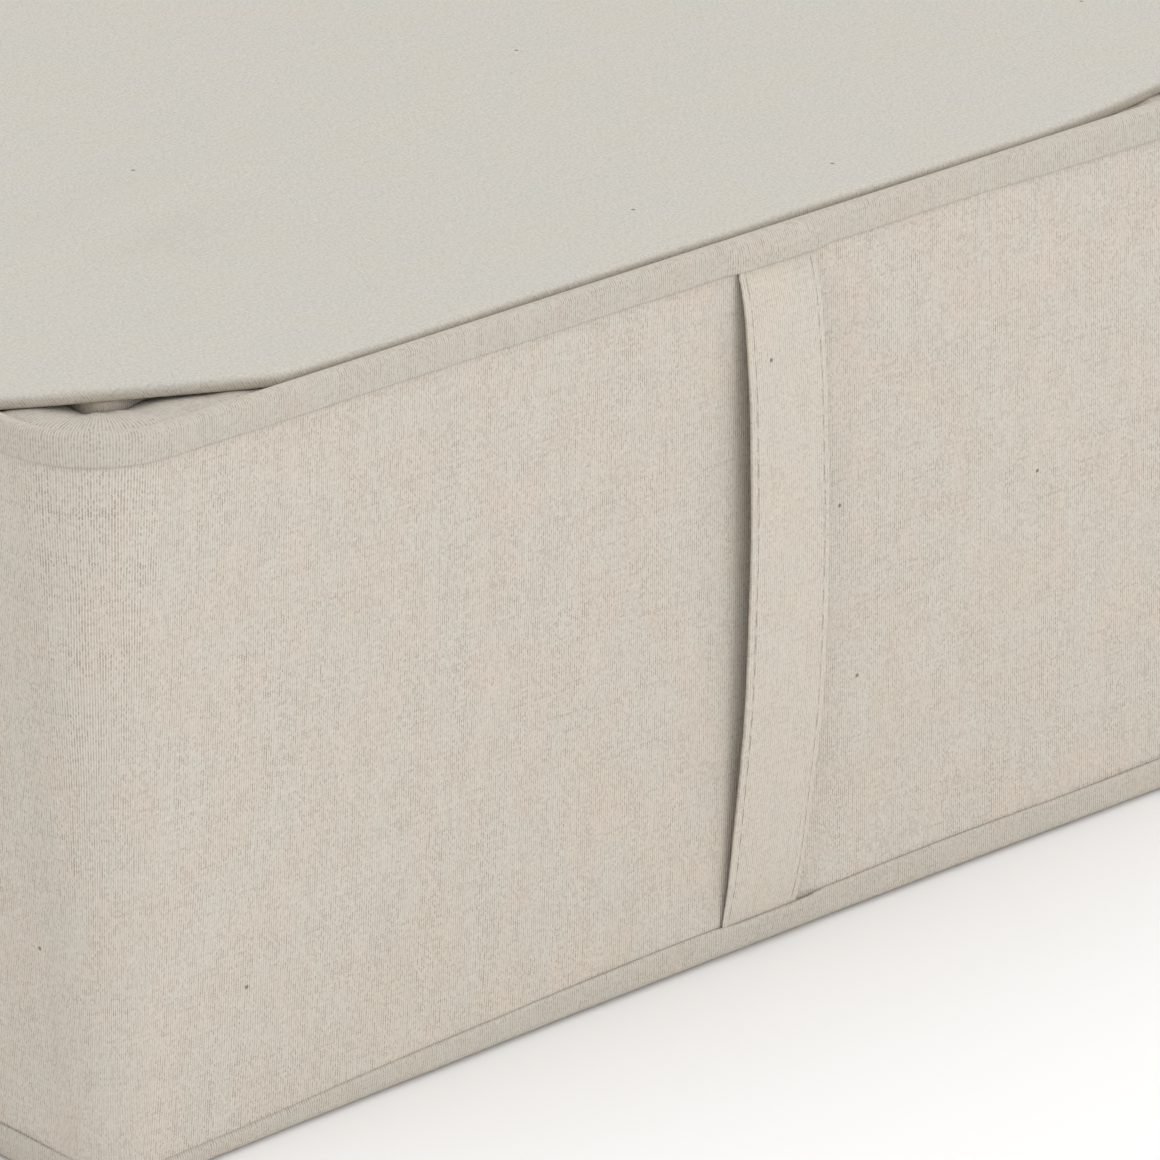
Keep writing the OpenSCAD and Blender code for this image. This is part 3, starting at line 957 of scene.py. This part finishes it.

# --- Lid ------------------------------------------------------------------------------------
# One panel of a smoother, greyer linen covers the top. Its edge is turned down over the zip in a soft roll,
# where the yarn colour is painted darker and warmer and the ribs and pores get stronger painted shade. Its
# front corners pull in where the cloth gathers, and it lies in faint long waves.
lid_warm = (0.540, 0.511, 0.455)
lid_cool = (0.523, 0.510, 0.469)
roll_shaded_warm = (0.52, 0.462, 0.378)
roll_shaded_cool = (0.505, 0.462, 0.392)
lid_depths = (0.16, 0.14, 0.35, 0.7)
lid_finish = woven(
    "lid_linen", warm=lid_warm, cool=lid_cool, gap=(0.442, 0.403, 0.343),
    slub=(0.615, 0.586, 0.531), depths=lid_depths, bump=0.12,
)
lid_cloth_t = 0.0009
lid_top = lid_box[1].z
lid_tree = lid_finish.node_tree
lid_weave = next(n for n in lid_tree.nodes if n.type == "GROUP")
lid_spot = wire(lid_tree, "ShaderNodeTexCoord").outputs["Object"]
lid_level = wire(lid_tree, "ShaderNodeSeparateXYZ", {0: lid_spot}).outputs[2]
# Painted shade: below the top of the lid, on the turned-down roll, the yarn colour is painted darker and
# warmer and the rib and pore shade is stronger.
roll_shade_mask = ramp(lid_tree, lid_level, lid_top - 0.0011, lid_top - 0.0002, 1, 0)
for socket, lying, rolled in (("Rib Shade", lid_depths[0], 0.62), ("Pore Shade", lid_depths[1], 0.7)):
    depth = maths(lid_tree, "MULTIPLY_ADD", roll_shade_mask, rolled - lying, lying)
    lid_tree.links.new(depth, lid_weave.inputs[socket])
for socket, lying, rolled in (("Warm", lid_warm, roll_shaded_warm), ("Cool", lid_cool, roll_shaded_cool)):
    yarn_colour_with_roll_shade = blend_colour(lid_tree, roll_shade_mask, (*lying, 1), (*rolled, 1))
    lid_tree.links.new(yarn_colour_with_roll_shade, lid_weave.inputs[socket])
lid_hx = half_x - lid_in
lid_hy = half_y - lid_in
lid_corners = [lid_back_corner, (0.060, 0.0335, 1.08), (0.118, 0.034, 1.6), lid_back_corner]
lid_lengths = segment_lengths(lid_hx, lid_hy, lid_corners)
lid_round = sum(lid_lengths)
lid_roll = smooth_curve([
    Vector(pair) / 1000 for pair in (
        (1.3, -3.6), (0.6, -3.3), (0.25, -2.6), (0.1, -1.7), (0.2, -0.7), (0.8, -0.05),
        (1.9, 0.25), (4.0, 0.33), (7.0, 0.35),
    )
])
roll_rows = 16
lid_rows = 76
roll_wobble = 0.0004
corner_lift = 0.0009
long_height = 0.0014
short_height = 0.0004
fine_height = 0.0002
fold_height = 0.0011


def lid_edge(a, inset):
    """Point of the lid's outline at an inset, level."""
    index, share = locate(a * lid_round, lid_lengths)
    x, y = rim(index, share, lid_hx, lid_hy, lid_corners)
    edge = Vector((x, y, 0))
    reach = edge.dot(outward(index, share, lid_hx, lid_hy, lid_corners))
    return edge * (1 - inset / reach)


def lid_waves(x, y):
    """Height of the faint waves in the lid, and of one soft fold across its front left part."""
    edge = min(lid_hx - abs(x), lid_hy - abs(y))
    inner = soft_step((edge - 0.018) / 0.05)
    long_wave = noise.noise(Vector((x * 5 + y * 2.5, y * 9 - x * 3, 1.3)))
    short_wave = noise.noise(Vector((x * 16, y * 11, 6.1)))
    fine_wave = noise.noise(Vector((x * 30, y * 30, 2)))
    across_fold = y + 0.152 - 0.1 * (x + 0.05) + 0.004 * math.sin(x * 30)
    fold = math.exp(-(across_fold / 0.007) ** 2) * soft_step((0.06 - x) / 0.08)
    broad = long_height * long_wave + short_height * short_wave + fold_height * fold
    return inner * broad + fine_height * fine_wave


def lid_place(a, b):
    """Point on the lid, from the foot of its rolled edge to its middle."""
    row = b * lid_rows
    spot = on_curve(lid_roll, min(row / roll_rows, 1))
    wobble = noise.noise(Vector((a * 55, spot.y * 150, 4.4)))
    edge = lid_edge(a, spot.x + roll_wobble * wobble * max(1 - row / roll_rows, 0))
    drop = spot.y
    if drop < -0.0006:
        drop = -0.0006 + (drop + 0.0006) * soft_step((0.2 - edge.y) / 0.03)
    keep = 1 - (max(row - roll_rows, 0) / (lid_rows - roll_rows)) ** 1.25
    x = edge.x * keep
    y = edge.y * keep
    from_corner = math.hypot(x + 0.19, y + 0.255)
    lift = corner_lift * math.exp(-(from_corner / 0.04) ** 2)
    return Vector((x, y, lid_top + drop + lift + lid_waves(x, y)))


def lid_spread(a, b, spot):
    """The lid's flat map: its plan, with the rolled edge laid out flat beyond it."""
    row = min(b * lid_rows / roll_rows, 1)
    if row == 1:
        return spot.x, spot.y
    flat_edge = lid_edge(a, lid_roll[0][-1].x - (1 - row) * lid_roll[1][-1])
    return flat_edge.x, flat_edge.y


lid = cloth(
    "lid_cloth", 520, lid_rows, lid_place, lid_spread, lid_finish, lid_cloth_t, closed=True
)
put(lid, "lid", "lid_linen", "lid_fabric")


lid_lining_in = 0.0021
lid_lining_level = lid_top - 0.00075


def lid_lining_place(a, b):
    """Point on the lining of the lid."""
    edge = lid_edge(a, lid_lining_in)
    keep = 1 - b ** 1.25
    x = edge.x * keep
    y = edge.y * keep
    return Vector((x, y, lid_lining_level + lid_waves(x, y)))


lid_lining = cloth(
    "lid_lining_cloth", 300, 50, lid_lining_place, planar, lining_finish,
    lining_t, closed=True,
)
put(lid_lining, "lid", "lining", "lid_lining")

# --- Zip on the lid -------------------------------------------------------------------------
# The lid's half of the zip hangs from an upright linen facing a little inside its edge, so that
# it meets the half on the rim when the lid is shut.
facing_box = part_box("lid_facing")
facing_t = 0.0007
facing, facing_run, facing_height = zip_strip(
    "lid_facing_cloth", facing_box[1].y,
    profile((24.9, 181.3), (25.2, 183.6), (24.9, 186.0), (24.8, 188.5)),
    wall_finish, facing_t, 10,
)
put(facing, "lid", "wall_linen", "lid_facing")
lid_tape, lid_tape_run, lid_tape_width = zip_strip(
    "lid_zip_tape_cloth", lid_tape_box[1].y, profile((16.3, 181.3), (20.5, 181.25), (25.2, 181.3)),
    tape_finish, zip_tape_t, 8,
)
put(lid_tape, "lid", "zip_tape", "lid_zip_tape")
coil("lid_zip_coil", "lid", lid_tape_box[1].y, 0.01555, 0.5, "lid_zip_teeth")

# --- Hinge tape -----------------------------------------------------------------------------
# A tape of the same linen joins the lid to the back wall inside the rim. It is the hinge, and it is shaped
# bent over where the lid turns.
hinge_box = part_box("hinge_tape")
hinge_half = hinge_box[1].x
hinge_t = 0.0005
hinge_curve = smooth_curve([
    Vector(pair) / 1000 for pair in (
        (270.6, 176.5), (270.6, 181.0), (270.6, 185.5), (270.5, 187.4), (269.6, 188.5),
        (267.5, 188.75), (264.0, 188.75), (260.0, 188.75),
    )
])


def hinge_place(a, b):
    """Point on the hinge tape, from its foot on the back wall to the lid."""
    spot = on_curve(hinge_curve, b)
    return Vector((hinge_half * (1 - 2 * a), spot.x, spot.y))


hinge = cloth(
    "hinge_tape_cloth", 60, 40, hinge_place,
    lambda a, b, _: (a * 2 * hinge_half, b * hinge_curve[1][-1]), wall_finish, hinge_t,
)
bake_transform(hinge)
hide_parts("hinge_tape")

# --- Slider, pull and stops -----------------------------------------------------------------
# A small cast slider with a flat pull runs on the coil between stops at the two ends of the zip.
# The metal is satin plated and a little cloudy.
metal_finish = bpy.data.materials.new("satin_metal")
metal_finish.use_nodes = True
metal_tree = metal_finish.node_tree
metal_shader = metal_tree.nodes["Principled BSDF"]
metal_spot = wire(metal_tree, "ShaderNodeTexCoord").outputs["Object"]
metal_cloud = wire(
    metal_tree, "ShaderNodeTexNoise", {"Vector": metal_spot, "Scale": 900, "Detail": 3}
).outputs["Fac"]
metal_tint = blend_colour(
    metal_tree, ramp(metal_tree, metal_cloud, 0.35, 0.65), (0.62, 0.60, 0.56, 1), (0.52, 0.50, 0.46, 1)
)
metal_relief = wire(
    metal_tree, "ShaderNodeBump", {"Strength": 0.15, "Distance": 0.0001, "Height": metal_cloud}
)
metal_tree.links.new(metal_tint, metal_shader.inputs["Base Color"])
metal_tree.links.new(ramp(metal_tree, metal_cloud, 0.3, 0.7, 0.28, 0.42), metal_shader.inputs["Roughness"])
metal_tree.links.new(metal_relief.outputs[0], metal_shader.inputs["Normal"])
metal_shader.inputs["Metallic"].default_value = 1
for node in ("zip_slider", "zip_pull", "zip_stops"):
    hardware = nodes[node]
    hardware.data.materials.clear()
    hardware.data.materials.append(metal_finish)
